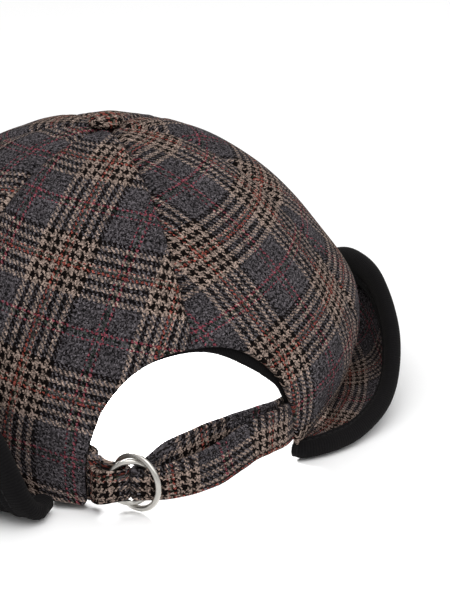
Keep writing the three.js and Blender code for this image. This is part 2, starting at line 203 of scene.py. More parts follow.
def keep_cloth(mesh, cloth):
    """Keeps each vertex's place on the flat cloth, in millimetres, as a UV map."""
    layer = mesh.uv_layers.new(name="cloth_mm")
    corners = np.zeros(len(mesh.loops), np.int32)
    mesh.loops.foreach_get("vertex_index", corners)
    layer.data.foreach_set("uv", cloth[corners].astype(np.float32).ravel())


def outward(mesh):
    """Turns the faces over if the closed mesh's volume comes out negative."""
    volume = 0.0
    for face in mesh.polygons:
        corners = [mesh.vertices[i].co for i in face.vertices]
        for a, b in zip(corners[1:], corners[2:]):
            volume += corners[0].dot(a.cross(b))
    if volume < 0:
        mesh.flip_normals()


def dress(piece, slot, *nodes):
    """The piece stands for its plain solids and rides with the cap. The slot, its finish, is not
    used.
    """
    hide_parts(*nodes)
    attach(piece, "root")
    print(piece.name, "faces:", len(piece.data.polygons))


# %% [markdown]
# ## Colours and nodes
# Colours are written as the sRGB hex values that a picture shows, and one function turns them to
# the linear numbers that shaders work in. One more function adds a node with its settings and
# its links, which keeps each material readable as a list of steps.

# %% Colour and node helpers
def linear(hex_colour):
    values = [int(hex_colour[i:i + 2], 16) / 255 for i in (1, 3, 5)]
    turned = [v / 12.92 if v <= 0.04045 else ((v + 0.055) / 1.055) ** 2.4 for v in values]
    return (*turned, 1.0)


def add(tree, kind, settings=None, inputs=None):
    """A node with its settings. inputs maps a socket's name or number to a value or a link."""
    node = tree.nodes.new(kind)
    for key, value in (settings or {}).items():
        setattr(node, key, value)
    for key, value in (inputs or {}).items():
        if isinstance(value, bpy.types.NodeSocket):
            tree.links.new(value, node.inputs[key])
        else:
            node.inputs[key].default_value = value
    return node


def new_material(name):
    made = bpy.data.materials.new(name)
    made.use_nodes = True
    made.node_tree.nodes.clear()
    return made, made.node_tree


def finish_material(tree, shader):
    add(tree, "ShaderNodeOutputMaterial", None, {"Surface": shader.outputs["BSDF"]})
    print("material nodes:", len(tree.nodes))


def math_node(tree, operation, *values):
    inputs = dict(enumerate(values))
    return add(tree, "ShaderNodeMath", {"operation": operation}, inputs).outputs[0]


def mix(tree, share, low, high):
    return add(tree, "ShaderNodeMix", {"data_type": "RGBA"}, {0: share, 6: low, 7: high}).outputs[2]


def scaled(tree, colour, share):
    settings = {"operation": "SCALE"}
    return add(tree, "ShaderNodeVectorMath", settings, {0: colour, 3: share}).outputs[0]


def ranged(tree, value, start, end, low, high):
    """Maps the range from start to end to the one from low to high."""
    inputs = {0: value, 1: start, 2: end, 3: low, 4: high}
    return add(tree, "ShaderNodeMapRange", None, inputs).outputs[0]


def flat_noise(tree, place, scale, detail, roughness=0.5):
    return add(tree, "ShaderNodeTexNoise", {"noise_dimensions": "2D"},
               {"Vector": place, "Scale": scale, "Detail": detail, "Roughness": roughness})


# %% [markdown]
# ## Glen plaid tweed
# The cap's cloth is a woollen glen plaid in a 2/2 twill. Blocks of four dark and four cream
# threads cross each other as houndstooth, blocks of two charcoal and two grey threads cross as a
# fine grey, and where they cross one another there are stripes. A pair of rust threads beside
# green ones runs down the middle of each block. The real weave is built here thread by thread:
# the warp and the weft each get their colour from their place in the repeat, and the twill says
# which of the two lies on top. A thread is 0.43 mm, so the houndstooth's size comes out right.
# Wool is spun from mixed fibres, so each crossing also gets its own random fleck. It scales the
# colour everywhere, and blurs the grey stripes into the salt and pepper of a melange.

# %% Thread colours
THREAD = 0.43
DARK_LIGHT_THREADS = 48
GREY_THREADS = 52
REPEAT_THREADS = DARK_LIGHT_THREADS + GREY_THREADS
BLOCK_MIDDLE_MM = THREAD * DARK_LIGHT_THREADS / 2
BROWN_BLACK = linear("#0c0807")
CREAM = linear("#807067")
CHARCOAL = linear("#121113")
SLATE = linear("#4d494c")
RUST = linear("#824138")
MADDER = linear("#76303b")
BOTTLE_GREEN = linear("#1c2a20")
ACCENT_STRENGTH = 0.75
GREY_BLUR = 0.7

# Each accent stripe's first thread and its colour, or none from there on.
ACCENTS = [
    (0, None), (21, RUST), (22, None), (23, BOTTLE_GREEN), (25, RUST), (27, None),
    (70, MADDER), (72, None), (73, BOTTLE_GREEN), (75, None), (77, MADDER), (78, None),
]


def stripes(tree, place, width):
    """0 and 1 by turns, each for so many threads."""
    number = math_node(tree, "FLOOR", math_node(tree, "DIVIDE", place, width))
    return math_node(tree, "FLOORED_MODULO", number, 2.0)


def thread_colour(tree, number, fleck):
    """A thread's colour from its number, with the grey pairs blurred by each crossing's fleck."""
    place = math_node(tree, "FLOORED_MODULO", number, float(REPEAT_THREADS))
    wide = mix(tree, stripes(tree, place, 4.0), BROWN_BLACK, CREAM)
    twos = stripes(tree, place, 2.0)
    apart = math_node(tree, "SUBTRACT", fleck, twos)
    fine = mix(tree, math_node(tree, "MULTIPLY_ADD", apart, GREY_BLUR, twos), CHARCOAL, SLATE)
    in_grey = math_node(tree, "GREATER_THAN", place, DARK_LIGHT_THREADS - 0.5)
    plain = mix(tree, in_grey, wide, fine)
    share = math_node(tree, "DIVIDE", math_node(tree, "ADD", place, 0.5), float(REPEAT_THREADS))
    accent = add(tree, "ShaderNodeValToRGB", None, {0: share})
    ramp = accent.color_ramp
    ramp.interpolation = "CONSTANT"
    ramp.elements.remove(ramp.elements[1])
    for first, colour in ACCENTS:
        element = ramp.elements[0] if first == 0 else ramp.elements.new(first / REPEAT_THREADS)
        element.color = (0, 0, 0, 0) if colour is None else (*colour[:3], ACCENT_STRENGTH)
    return mix(tree, accent.outputs[1], plain, accent.outputs[0])


# %% The tweed
def woven_tweed(name):
    """Glen plaid drawn from the cloth's millimetres, with woollen melange, nap and relief."""
    made, tree = new_material(name)
    cloth = add(tree, "ShaderNodeUVMap", {"uv_map": "cloth_mm"})
    wander = flat_noise(tree, cloth.outputs[0], 0.9, 1.0)
    drift = add(tree, "ShaderNodeVectorMath", {"operation": "MULTIPLY_ADD"},
                {0: wander.outputs["Color"], 1: (0.8, 0.8, 0.0), 2: cloth.outputs[0]})
    axes = add(tree, "ShaderNodeSeparateXYZ", None, {0: drift.outputs[0]})
    warp_place = math_node(tree, "DIVIDE", axes.outputs[0], THREAD)
    weft_place = math_node(tree, "DIVIDE", axes.outputs[1], THREAD)
    warp = math_node(tree, "FLOOR", warp_place)
    weft = math_node(tree, "FLOOR", weft_place)
    diagonal = math_node(tree, "FLOORED_MODULO", math_node(tree, "ADD", warp, weft), 4.0)
    warp_on_top = math_node(tree, "LESS_THAN", diagonal, 1.5)
    crossing = add(tree, "ShaderNodeCombineXYZ", None, {0: warp, 1: weft})
    yarn = add(tree, "ShaderNodeTexWhiteNoise", {"noise_dimensions": "2D"},
               {"Vector": crossing.outputs[0]})
    fleck = yarn.outputs[0]
    woven = mix(tree, warp_on_top,
                thread_colour(tree, weft, fleck), thread_colour(tree, warp, fleck))
    melange = flat_noise(tree, cloth.outputs[0], 1.7, 4.0, 0.7)
    flecks = ranged(tree, melange.outputs[0], 0.3, 0.7, 0.35, 1.65)
    spun = ranged(tree, fleck, 0.0, 1.0, 0.15, 1.8)
    tinted = scaled(tree, woven, math_node(tree, "MULTIPLY", flecks, spun))
    worn = flat_noise(tree, cloth.outputs[0], 0.05, 2.0)
    shaded = scaled(tree, tinted, ranged(tree, worn.outputs[0], 0.3, 0.7, 0.9, 1.1))
    across = math_node(tree, "PINGPONG", warp_place, 0.5)
    along = math_node(tree, "PINGPONG", weft_place, 0.5)
    relief = add(tree, "ShaderNodeMix", {"data_type": "FLOAT"},
                 {0: warp_on_top, 2: along, 3: across})
    nap = math_node(tree, "MULTIPLY_ADD", melange.outputs[0], 1.6, relief.outputs[0])
    bump = add(tree, "ShaderNodeBump", None, {"Strength": 0.7, "Distance": 0.0002, "Height": nap})
    shader = add(tree, "ShaderNodeBsdfPrincipled", None, {
        "Base Color": shaded, "Roughness": 0.93, "IOR": 1.45,
        "Specular IOR Level": 0.05, "Sheen Weight": 0.01, "Sheen Roughness": 0.5,
        "Sheen Tint": linear("#d8cfc8"), "Normal": bump.outputs[0],
    })
    finish_material(tree, shader)
    return made


TWEED = woven_tweed("woollen_glen_plaid_twill")

# %% [markdown]
# ## Black cloths
# Four black materials meet on a cap like this. The lining is a plain cotton with a slight shine,
# the flaps' binding is a folded cotton tape with fine ribs across it, the flaps' inside is a
# brushed knitted fleece with fuzzy columns of loops, and the band in the rim is a ribbed ribbon.
# They share one recipe of ribs and fibres with different sizes. The colour follows the relief:
# darker in the rib valleys and lighter on the rib tops, which is painted shade and painted light,
# and varied at random by the fibres.

# %% Black cloth
def black_cloth(name, colour, rib_mm, rib_depth, fibre_depth, sheen, slant=0.0, painted_shade_and_tone_contrast=0.25):
    made, tree = new_material(name)
    cloth = add(tree, "ShaderNodeUVMap", {"uv_map": "cloth_mm"})
    turned = add(tree, "ShaderNodeVectorRotate", {"rotation_type": "Z_AXIS"},
                 {"Vector": cloth.outputs[0], "Angle": slant})
    fibres = flat_noise(tree, turned.outputs[0], 1.3, 5.0, 0.75)
    bent = add(tree, "ShaderNodeVectorMath", {"operation": "MULTIPLY_ADD"},
               {0: fibres.outputs["Color"], 1: (0.6 * rib_mm, 0.0, 0.0), 2: turned.outputs[0]})
    axes = add(tree, "ShaderNodeSeparateXYZ", None, {0: bent.outputs[0]})
    ribs = math_node(tree, "PINGPONG", math_node(tree, "DIVIDE", axes.outputs[0], rib_mm), 0.5)
    fuzz = fibre_depth / rib_depth
    height = math_node(tree, "MULTIPLY_ADD", fibres.outputs[0], fuzz, ribs)
    # Painted shade in the rib valleys and painted light on the rib tops, with random fibre tone.
    painted_rib_shade_and_fibre_tone = ranged(tree, height, 0.2, 0.4 + fuzz, 1 - painted_shade_and_tone_contrast, 1 + 2 * painted_shade_and_tone_contrast)
    tint = scaled(tree, linear(colour)[:3], painted_rib_shade_and_fibre_tone)
    bump = add(tree, "ShaderNodeBump", None,
               {"Strength": 0.8, "Distance": rib_depth * METRE, "Height": height})
    shader = add(tree, "ShaderNodeBsdfPrincipled", None, {
        "Base Color": tint, "Roughness": 0.9, "IOR": 1.45, "Specular IOR Level": 0.08,
        "Sheen Weight": sheen, "Sheen Roughness": 0.5, "Sheen Tint": linear("#9c9894"),
        "Normal": bump.outputs[0],
    })
    finish_material(tree, shader)
    return made


LINING = black_cloth("black_cotton_lining", "#0a090a", 0.6, 0.1, 0.1, 0.02)
TAPE = black_cloth("black_cotton_binding_tape", "#0e0d0e", 1.1, 0.25, 0.2, 0.06, 0.0, 0.5)
FLEECE = black_cloth("brushed_black_knit_fleece", "#0c0a0b", 2.2, 0.5, 0.6, 0.03, 0.25, 0.45)
RIBBON = black_cloth("black_ribbed_sweatband", "#0a090a", 1.1, 0.25, 0.05, 0.02)
THREAD_BLACK = black_cloth("black_sewing_thread", "#232223", 0.3, 0.1, 0.05, 0.1)

# %% [markdown]
# ## Satin steel
# The two rings are bent from steel wire and tumbled to a satin finish: bright, with soft
# reflections and faint drawing lines along the wire. Steel keeps the default IOR and takes its
# look from full metallic and a middle roughness.

# %% Steel
def satin_steel(name):
    made, tree = new_material(name)
    cloth = add(tree, "ShaderNodeUVMap", {"uv_map": "cloth_mm"})
    drawn = add(tree, "ShaderNodeMapping", None,
                {"Vector": cloth.outputs[0], "Scale": (0.15, 6.0, 1.0)})
    lines = flat_noise(tree, drawn.outputs[0], 1.5, 4.0)
    bump = add(tree, "ShaderNodeBump", None,
               {"Strength": 0.2, "Distance": 0.00002, "Height": lines.outputs[0]})
    shader = add(tree, "ShaderNodeBsdfPrincipled", None, {
        "Base Color": linear("#bdbab4"), "Metallic": 1.0,
        "Roughness": ranged(tree, lines.outputs[0], 0.3, 0.7, 0.22, 0.4), "Normal": bump.outputs[0],
    })
    finish_material(tree, shader)
    return made


STEEL = satin_steel("satin_steel_wire")

# %% [markdown]
# ## Crown panels
# Each gore is a grid over its sixth of the dome. It swells a little between its seams, dips into
# each seam with a small pucker, and rolls under at the rim. The two back gores end at the arch,
# so their columns stop where they meet its edge. The plaid is cut at a slant to each gore's
# middle, by the angles that line the blocks up beside the back seam.

# %% Lay the plaid on a gore
PANEL_NAMES = ["front_right", "side_right", "back_right", "back_left", "side_left", "front_left"]
SEAM_BOWS = [0, 0, 3.4, 0, 0, 0, 0]
TOP_SHARE = 0.0086
ARCH_HALF_WIDTH = 41.3
ARCH_HEIGHT = 51.0
ARCH_ROUNDNESS = 2.3

# Each gore's middle of a houndstooth block, in its own millimetres, and the cloth's slant.
PLAID_PLACES = {
    "front_right": (6.0, 62.0, 14), "side_right": (-12.0, 52.0, -14),
    "back_right": (-15.0, 60.3, -16), "back_left": (2.6, 70.9, 15.5),
    "side_left": (8.0, 58.0, -15), "front_left": (-6.0, 66.0, -14),
}


def gore_cloth(index, turn, share, steps=24):
    """A point's place on the flat gore: across from its middle line, and down from the button."""
    middle = math.radians((index - 2.5) * 60)
    downs = np.linspace(0, 1, 500)
    line = crown_point(np.full(500, middle), downs)
    lengths = np.concatenate([[0], np.cumsum(np.linalg.norm(np.diff(line, axis=0), axis=1))])
    down = np.interp(share, downs, lengths)
    turns = middle + (turn[..., None] - middle) * np.linspace(0, 1, steps)
    arc = crown_point(turns, np.repeat(share[..., None], steps, -1))
    across = np.linalg.norm(np.diff(arc, axis=-2), axis=-1).sum(-1) * np.sign(turn - middle)
    return across, down


def lay_plaid(across, down, place):
    """Turns a piece's own millimetres to the plaid's, with a block's middle at the place."""
    middle_across, middle_down, slant = place
    a, d = across - middle_across, down - middle_down
    sin, cos = math.sin(math.radians(slant)), math.cos(math.radians(slant))
    return np.stack([a * cos - d * sin + BLOCK_MIDDLE_MM, a * sin + d * cos + BLOCK_MIDDLE_MM], -1)


def arch_end(turn):
    """The share at which a column of the crown meets the arch, or 1 where it reaches the rim."""
    shares = np.linspace(0.3, 1.0, 1401)
    points = crown_point(np.full(1401, turn), shares)
    reach = np.clip(np.abs(points[:, 0]) / ARCH_HALF_WIDTH, 0, 1)
    top = ARCH_HEIGHT * (1 - reach ** ARCH_ROUNDNESS) ** (1 / ARCH_ROUNDNESS)
    inside = (points[:, 2] < top) & (reach < 1)
    return shares[np.argmax(inside)] if inside.any() else 1.0


print("arch meets the back seam at share", round(arch_end(0.0), 3))


# %% Soft waves in worn cloth
def soft_waves(turn, height):
    """Shallow dents and swells, in millimetres, that a lined cloth crown takes on a table."""
    slow = np.sin(3.1 * turn + 0.045 * height + 0.6) * np.sin(0.052 * height - 1.3 * turn + 1.1)
    quick = np.sin(7.3 * turn - 0.08 * height + 2.0) * np.sin(0.11 * height + 2.7 * turn)
    return 0.9 * slow + 0.4 * quick


# %% Sew the six gores
EDGE_ANGLES = np.linspace(0, math.pi, 7)[1:-1]
SEAM_DIP = 0.95
SEAM_DIP_WIDTH = 1.3
PUCKER_DEPTH = 0.22
PUCKER_FROM_SEAM = 3.5
PUCKER_PITCH = 8.5


def gore(index, columns=56, rows=96):
    name = PANEL_NAMES[index]
    left = math.radians((index - 3) * 60)
    right = math.radians((index - 2) * 60)
    bows = [math.radians(SEAM_BOWS[index]), math.radians(SEAM_BOWS[index + 1])]
    u = 0.5 - 0.5 * np.cos(np.pi * np.linspace(0, 1, columns + 1))
    u = 0.35 * u + 0.65 * np.linspace(0, 1, columns + 1)
    ends = np.ones(columns + 1)
    if name.startswith("back"):
        ends = np.array([arch_end(left + (right - left) * s) for s in u])
    v = np.linspace(0, 1, rows + 1)
    share = TOP_SHARE + (ends[:, None] - TOP_SHARE) * v[None, :]
    bow = np.sin(np.pi * share)
    start, end = left + bows[0] * bow, right + bows[1] * bow
    turn = start + (end - start) * u[:, None]
    base, normal = dome_face(turn, share)
    across, down = gore_cloth(index, turn, share)
    width = np.abs(across[:1]) + np.abs(across[-1:])
    from_seam = np.minimum(u[:, None], 1 - u[:, None]) * width
    swell = (1 - (2 * u[:, None] - 1) ** 4) * np.sin(np.pi * np.clip(share + 0.12, 0, 1))
    dip = -SEAM_DIP * np.exp(-(from_seam / SEAM_DIP_WIDTH) ** 2)
    near_seam = np.exp(-(from_seam - PUCKER_FROM_SEAM) ** 2 / 6)
    pucker = PUCKER_DEPTH * near_seam * np.sin(down * 2 * np.pi / PUCKER_PITCH + 1.7 * index)
    fade = np.clip(from_seam / 12, 0, 1) * np.clip(down / 25, 0, 1)
    edge = 1 - np.clip((1 - v[None, :]) * 12, 0, 1)
    lift = PANEL_PUFF * swell + dip + pucker + soft_waves(turn, base[..., 2]) * fade - 0.4 * edge
    outer = base + normal * lift[..., None]
    inner = base + normal * (lift[..., None] - CLOTH)
    along = unit(outer[:, -1] - outer[:, -3])
    middle = (outer[:, -1] + inner[:, -1]) / 2
    half = (outer[:, -1] - inner[:, -1]) / 2
    roll = [middle + half * math.cos(a) + along * math.sin(a) * CLOTH / 2 for a in EDGE_ANGLES]
    points = np.concatenate([outer, np.stack(roll, 1), inner[:, ::-1]], 1)
    cloth = lay_plaid(across, down, PLAID_PLACES[name])
    turned = np.repeat(cloth[:, -1:], len(EDGE_ANGLES), 1)
    turned[..., 1] += np.linspace(0.4, 2.4, len(EDGE_ANGLES))
    cloth = np.concatenate([cloth, turned, cloth[:, ::-1]], 1)
    looks = [0] * (rows + len(EDGE_ANGLES) + 1) + [1] * rows + [1]
    return make_piece(f"crown_gore_{name}", points, cloth, [TWEED, LINING], looks)


for index, name in enumerate(PANEL_NAMES):
    dress(gore(index), "tweed", f"crown_panel_{name}")

# %% [markdown]
# ## Button
# A covered button is a disc with a circle of the same cloth drawn over it and gathered
# underneath. It is a low dome, a little uneven, whose cloth pleats where it turns under.

# %% Button
def covered_button(rings=18, around=64):
    share = np.linspace(0, 1, rings + 1)
    angle = share * math.pi * 0.62
    radius = BUTTON_RADIUS * np.sin(np.minimum(angle, math.pi / 2)) ** 0.9
    under = np.clip(share - 0.8, 0, 1) / 0.2
    radius = radius * (1 - 0.12 * under ** 2)
    base = CROWN_HEIGHT + PANEL_PUFF
    height = base - 0.6 + (BUTTON_HEIGHT + 0.6) * np.cos(angle * 0.5 / 0.62)
    turn = np.linspace(0, 2 * math.pi, around, endpoint=False)
    pleat = 1 + 0.035 * under[None, :] * np.sin(14 * turn)[:, None]
    uneven = 1 + 0.02 * np.sin(2 * turn + 0.7)[:, None]
    x = radius[None, :] * pleat * uneven * np.cos(turn)[:, None]
    y = radius[None, :] * pleat * uneven * np.sin(turn)[:, None]
    z = np.repeat(height[None, :], around, 0)
    top = np.stack([x, y + CROWN_SET_BACK, z], -1)
    foot = top[:, -1:].copy()
    foot[..., :2] = np.array([0, CROWN_SET_BACK]) + (foot[..., :2] - [0, CROWN_SET_BACK]) * 0.05
    points = np.concatenate([top, foot], 1)
    spread = np.concatenate([angle * 4.2, [angle[-1] * 4.2]])
    cloth = np.stack([
        spread[None, :] * np.cos(turn)[:, None], spread[None, :] * np.sin(turn)[:, None],
    ], -1) + BLOCK_MIDDLE_MM
    return make_piece("covered_top_button", points, cloth, [TWEED], closed=True)


dress(covered_button(), "tweed", "top_button")

# %% [markdown]
# ## Bands inside the crown
# A tape faces the edge of the arch, and a ribbed ribbon runs round the inside of the rim. Both
# show only through the arch and from below. They are thin shells a little inside the dome.

# %% Arch facing and sweatband
BAND_DEPTH = CLOTH + 0.4
BAND_THICKNESS = 1.1


def inner_shell(name, turns, tops, bottoms, look, rows=10):
    v = np.linspace(0, 1, rows + 1)
    share = tops[:, None] + (bottoms - tops)[:, None] * v
    turn = np.repeat(turns[:, None], rows + 1, 1)
    base, normal = dome_face(turn, share)
    outer, inner = base - normal * BAND_DEPTH, base - normal * (BAND_DEPTH + BAND_THICKNESS)
    points = np.concatenate([outer, inner[:, ::-1]], 1)
    around = np.concatenate([[0], np.cumsum(np.linalg.norm(np.diff(base[:, -1], axis=0), axis=1))])
    cloth = np.stack([np.repeat(around[:, None], rows + 1, 1), share * 120], -1)
    cloth = np.concatenate([cloth, cloth[:, ::-1]], 1)
    return make_piece(name, points, cloth, [look])


facing_turns = np.radians(np.linspace(-30, 30, 90))
facing_ends = np.array([arch_end(t) for t in facing_turns])
droop = 0.012 + 0.05 * np.exp(-((np.degrees(facing_turns) + 15) / 8.0) ** 2)
facing = inner_shell("arch_facing_tape", facing_turns, facing_ends - 0.1,
                     np.minimum(facing_ends + droop, 0.97), TAPE)
dress(facing, "black_cloth", "arch_facing")

band_turns = np.radians(np.linspace(38, 322, 160))
band = inner_shell("ribbed_sweatband", band_turns, np.full(160, 0.72), np.full(160, 0.993), RIBBON)
dress(band, "black_cloth", "sweatband")

# %% [markdown]
# ## Ear flaps
# Each flap is cut from tweed with a fleece inside, hangs from the rim, and is folded up beside
# the crown. Its surface is a bend that starts under the rim and rises outside it. The outline
# is a table, close to the crown on the left and fallen open on the right.

# %% The flaps' surface and outline
FLAP_HEIGHT = 49.0
FLAP_BEND = [
    (0.0, 0.07), (0.3, 0.065), (0.62, 0.085), (0.88, 0.2), (0.99, 0.42), (0.99, 0.7), (0.93, 1.02),
]
FLAPS = {
    "left": {"back": 36, "front": 125, "root": 2.6, "spread": 21, "rear": 0.9, "hand": -1},
    "right": {"back": -31, "front": -125, "root": -3.6, "spread": 24, "rear": 1.0, "hand": 1},
}
FLAP_OUTLINES = {
    "left": [(0, 0.46), (0.04, 0.7), (0.09, 0.87), (0.17, 0.96), (0.3, 0.985), (0.45, 0.985),
             (0.58, 0.96), (0.72, 0.87), (0.87, 0.56), (1, 0.22)],
    "right": [(0, 0.11), (0.05, 0.2), (0.11, 0.295), (0.2, 0.42), (0.32, 0.58), (0.45, 0.77),
              (0.58, 0.88), (0.72, 0.86), (0.87, 0.58), (1, 0.22)],
}
flap_bend = smooth_curve([(out, up, 0) for out, up in FLAP_BEND])


def flap_surface(side):
    flap = FLAPS[side]

    def at(u, v):
        u, v = np.broadcast_arrays(np.asarray(u, float), np.asarray(v, float))
        turn = np.radians(flap["back"] + (flap["front"] - flap["back"]) * u)
        rim = crown_point(turn, np.ones_like(u))
        ahead = crown_point(turn + 0.01, np.ones_like(u)) - rim
        outward_way = unit(np.stack([ahead[..., 1], -ahead[..., 0], 0 * u], -1))
        outward_way = outward_way * np.sign((outward_way * rim).sum(-1, keepdims=True))
        middle = np.sin(np.pi * np.clip(u, 0, 1))
        spread = flap["spread"] * (flap["rear"] + (1 - flap["rear"]) * middle)
        bend = flap_bend(np.clip(v, 0, 1))
        past = np.clip(v, 1, 2) - 1
        reach = flap["root"] + (spread - flap["root"]) * bend[..., 0]
        point = rim + outward_way * reach[..., None]
        point[..., 2] = FLAP_HEIGHT * (bend[..., 1] + past * 1.6)
        return point
    return at


def curve_length(points):
    return np.linalg.norm(np.diff(points, axis=0), axis=1).sum()


def measured_flap(side):
    """The flap's surface, its length along the rim and its length round its bend's middle."""
    at = flap_surface(side)
    line = np.linspace(0, 1, 60)
    return at, curve_length(at(line, 0 * line)), curve_length(at(0 * line + 0.5, line))


for side in FLAPS:
    lengths = np.round(measured_flap(side)[1:], 1)
    print(side, "flap, mm along the rim and round its bend:", lengths)


# %% A layer of a flap
LAYER_MARGIN = 1.0
END_MARGIN = 0.012
FIRST_DEPTH = 0.01
INSIDE_SHARES = (0.002, 0.998)


def flap_layer(side, name, near, far, look, slot, node, place=(0, 0, 0), columns=90, rows=30):
    at, rim_length, bend_length = measured_flap(side)
    curve = smooth_curve([(a, d, 0) for a, d in FLAP_OUTLINES[side]])
    outline = curve(np.linspace(0, 1, columns + 1))
    margin = LAYER_MARGIN / bend_length
    v = np.linspace(0, 1, rows + 1)
    depth = FIRST_DEPTH + (outline[:, 1] - margin - FIRST_DEPTH)[:, None] * v
    along = np.repeat(END_MARGIN + (1 - 2 * END_MARGIN) * outline[:, :1], rows + 1, 1)
    base = at(along, depth)
    normal = normal_of(at, along, np.clip(depth, *INSIDE_SHARES)) * FLAPS[side]["hand"]
    ripple = 0.5 * np.sin(along * 23 + depth * 5) * np.sin(depth * 9 + along * 4)
    near_face = base - normal * (near + ripple)[..., None]
    far_face = base - normal * (far + ripple)[..., None]
    points = np.concatenate([near_face, far_face[:, ::-1]], 1)
    cloth = lay_plaid(along * rim_length, depth * bend_length, place)
    cloth = np.concatenate([cloth, cloth[:, ::-1]], 1)
    dress(make_piece(name, points, cloth, [look]), slot, node)


for side, place in (("left", (40, 20, 12)), ("right", (30, 8, -12))):
    flap_layer(side, f"ear_flap_tweed_{side}", 0.1, 1.6, TWEED, "tweed", f"ear_flap_{side}", place)
for side in FLAPS:
    flap_layer(side, f"ear_flap_fleece_{side}", -0.1, -1.6, FLEECE, "black_cloth",
               f"ear_flap_lining_{side}")


# %% [markdown]
# ## Flap binding
# A folded tape wraps the flap's cut edge, 8 mm wide on both faces, with a row of machine
# stitching near its inner edge. Its section is a rounded lip, pulled in a little where the
# stitches hold it. The lip is carried along the outline, and at both ends down to the fold.

# %% Binding
BINDING_SECTION = [
    (8.2, 1.6), (8.0, 2.3), (7.3, 2.8), (6.3, 2.5), (5.6, 2.2), (4.8, 2.55), (3.6, 3.0), (2.2, 3.1),
    (0.9, 2.9), (-0.2, 2.3), (-0.85, 1.3), (-1.05, 0.1), (-0.85, -1.1), (-0.2, -2.1), (0.9, -2.65),
    (2.2, -2.8), (3.6, -2.65), (4.8, -2.4), (5.6, -2.15), (6.3, -2.35), (7.3, -2.55), (8.0, -2.1),
    (8.2, -1.4),
]
REAR_END_SHARES = (0.06, 0.36, 0.7)
FRONT_END = (1, 0.02)
TANGENT_STEP = 0.012
TAPE_FIRST_DEPTH = 0.012
TAPE_COLUMNS = 150


def edge_frame(side):
    """Along a flap's outline: the place, and the way in from the edge, in shares."""
    at, rim_length, bend_length = measured_flap(side)
    outline = FLAP_OUTLINES[side]
    rear = [(0, outline[0][1] * share) for share in REAR_END_SHARES]
    curve = smooth_curve([(a, d, 0) for a, d in rear + outline[1:] + [FRONT_END]])
    t = np.linspace(0, 1, TAPE_COLUMNS + 1)
    ahead = curve(np.clip(t + TANGENT_STEP, 0, 1)) - curve(np.clip(t - TANGENT_STEP, 0, 1))
    tangent = unit(np.stack([ahead[:, 0] * rim_length, ahead[:, 1] * bend_length], -1))
    place = curve(t)
    return at, place, tangent, rim_length, bend_length


def on_edge(side, frame_data, inward, depth):
    """Points of the binding: inward and depth in millimetres from the flap's edge and face."""
    at, place, tangent, rim_length, bend_length = frame_data
    u = place[:, :1] + inward * tangent[:, 1:] / rim_length
    v = np.maximum(place[:, 1:2] - inward * tangent[:, :1] / bend_length, TAPE_FIRST_DEPTH)
    u, v, depth = np.broadcast_arrays(u, v, depth)
    normal = normal_of(at, u, np.clip(v, *INSIDE_SHARES)) * FLAPS[side]["hand"]
    return at(u, v) - normal * depth[..., None]


def binding(side):
    data = edge_frame(side)
    section = np.array(BINDING_SECTION)
    points = on_edge(side, data, section[None, :, 0], section[None, :, 1])
    run = np.concatenate([[0], np.cumsum(np.linalg.norm(np.diff(points[:, 11], axis=0), axis=1))])
    loop = np.concatenate([[0], np.cumsum(np.linalg.norm(np.diff(section, axis=0), axis=1))])
    cloth = np.stack(np.broadcast_arrays(run[:, None], loop[None, :]), -1)
    return make_piece(f"flap_binding_tape_{side}", points, cloth, [TAPE]), data


# %% [markdown]
# ## Stitches
# Machine stitches are short beads of thread lying in a row. A bead is a small stretched drop of
# geometry, and a row of them follows a line on the cloth, slightly sunk in it.

# %% Rows of stitches
def bead(length, width, sides=6):
    """A stitch along x, rising in z."""
    shares = np.array([-0.5, -0.42, -0.2, 0.2, 0.42, 0.5])
    sizes = np.array([0.15, 0.7, 1.0, 1.0, 0.7, 0.15])
    turn = np.linspace(0, 2 * math.pi, sides, endpoint=False)
    return np.array([
        [(s * length, w * width / 2 * math.cos(a), w * width / 2 * math.sin(a)) for a in turn]
        for s, w in zip(shares, sizes)
    ])


def stitch_row(name, line, normals, pitch, look, length=2.2, width=0.55):
    """line: points in cap millimetres, already on the cloth's face. One bead for each pitch."""
    steps = np.linalg.norm(np.diff(line, axis=0), axis=1)
    run = np.concatenate([[0], np.cumsum(steps)])
    count = max(int(run[-1] / pitch), 2)
    shape = bead(length, width)
    points, faces = [], []
    for k in range(count):
        middle = (k + 0.5) * run[-1] / count
        here = np.array([np.interp(middle, run, line[:, c]) for c in range(3)])
        ahead = np.array([np.interp(middle + 0.5, run, line[:, c]) for c in range(3)])
        up = unit(np.array([np.interp(middle, run, normals[:, c]) for c in range(3)]))
        way = unit(ahead - here)
        side_way = np.cross(up, way)
        axes = np.stack([way, side_way, up])
        start = len(points)
        points.extend((shape.reshape(-1, 3) @ axes) + here)
        ring = shape.shape[1]
        for i in range(shape.shape[0] - 1):
            for j in range(ring):
                a, b = start + i * ring + j, start + i * ring + (j + 1) % ring
                faces.append((a, a + ring, b + ring, b))
        faces.append(tuple(start + j for j in range(ring)))
        last = start + (shape.shape[0] - 1) * ring
        faces.append(tuple(last + j for j in range(ring - 1, -1, -1)))
    mesh = bpy.data.meshes.new(name)
    flat = (np.array(points) + CAP_ORIGIN) * METRE
    mesh.from_pydata([tuple(p) for p in flat], [], faces)
    keep_cloth(mesh, np.array(points)[:, [0, 2]])
    mesh.materials.append(look)
    mesh.polygons.foreach_set("use_smooth", np.ones(len(mesh.polygons), bool))
    row = bpy.data.objects.new(name, mesh)
    bpy.context.scene.collection.objects.link(row)
    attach(row, "root")
    print(name, "stitches:", count)


# %% Sew the bindings on
STITCHES_FROM_EDGE = 5.6

